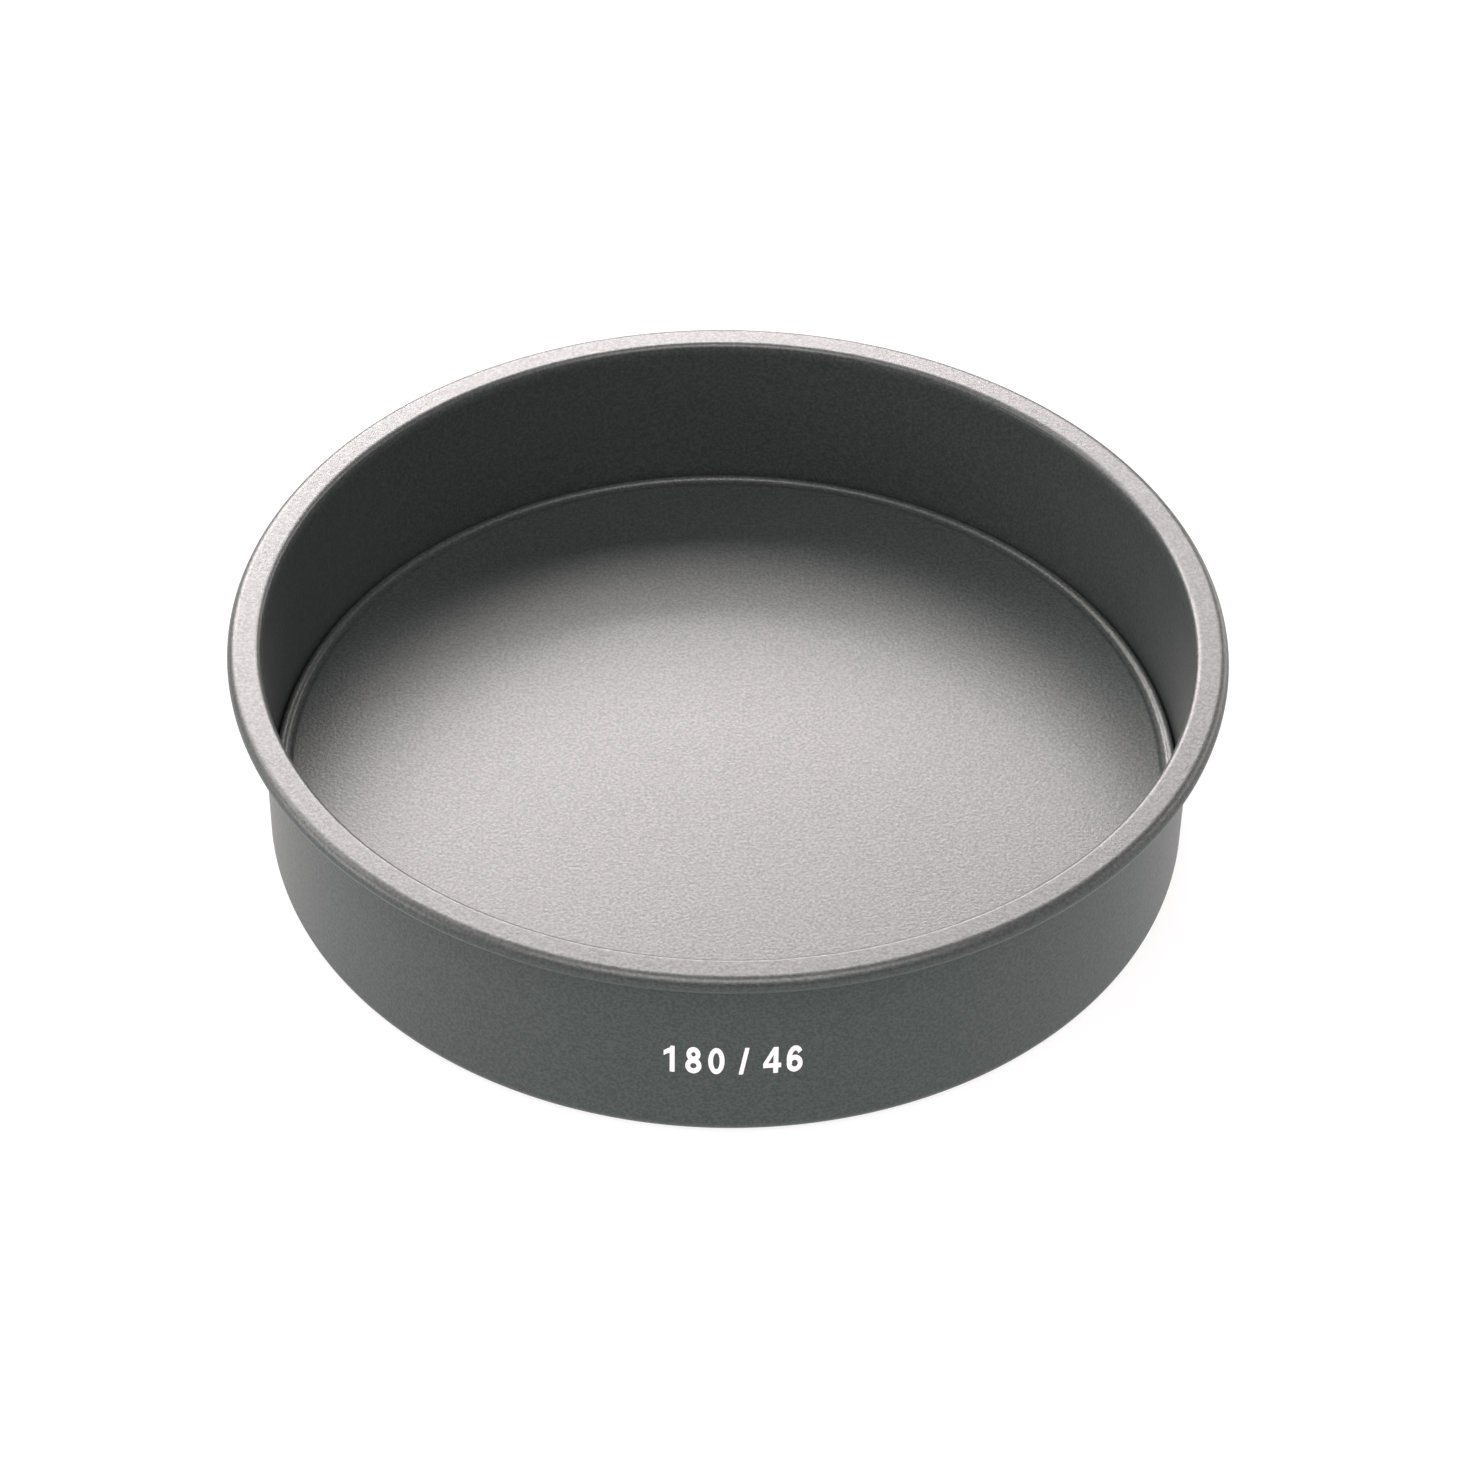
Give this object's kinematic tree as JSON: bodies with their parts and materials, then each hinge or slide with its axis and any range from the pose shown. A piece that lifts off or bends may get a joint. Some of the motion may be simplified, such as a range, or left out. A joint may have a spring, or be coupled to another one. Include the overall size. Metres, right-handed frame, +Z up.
{
  "type": "round cake tin",
  "caption": "Round straight-sided cake tin with a rolled rim and a loose raised base that lifts out of the ring.",
  "frame": {"origin": "middle of the tin, at the height of the surface it stands on", "axes": "+Z up along the tin's axis; the tin is round, so X and Y are free, and the printed numbers face -Y"},
  "size_m": [0.1936, 0.1936, 0.046],
  "materials": {
    "ring_coating": "dark grey non-stick coating with a fine satin grain",
    "base_coating": "dark grey non-stick coating with a fine satin grain",
    "size_print": "thin white print"
  },
  "bodies": {
    "ring": {"tin_wall": "ring_coating"},
    "base": {"loose_base": "base_coating"}
  },
  "joints": [
    {"name": "base_lift", "type": "slide", "parent": "ring", "child": "base", "axis": [0, 0, 1], "range_m": [0, 0.06]}
  ]
}
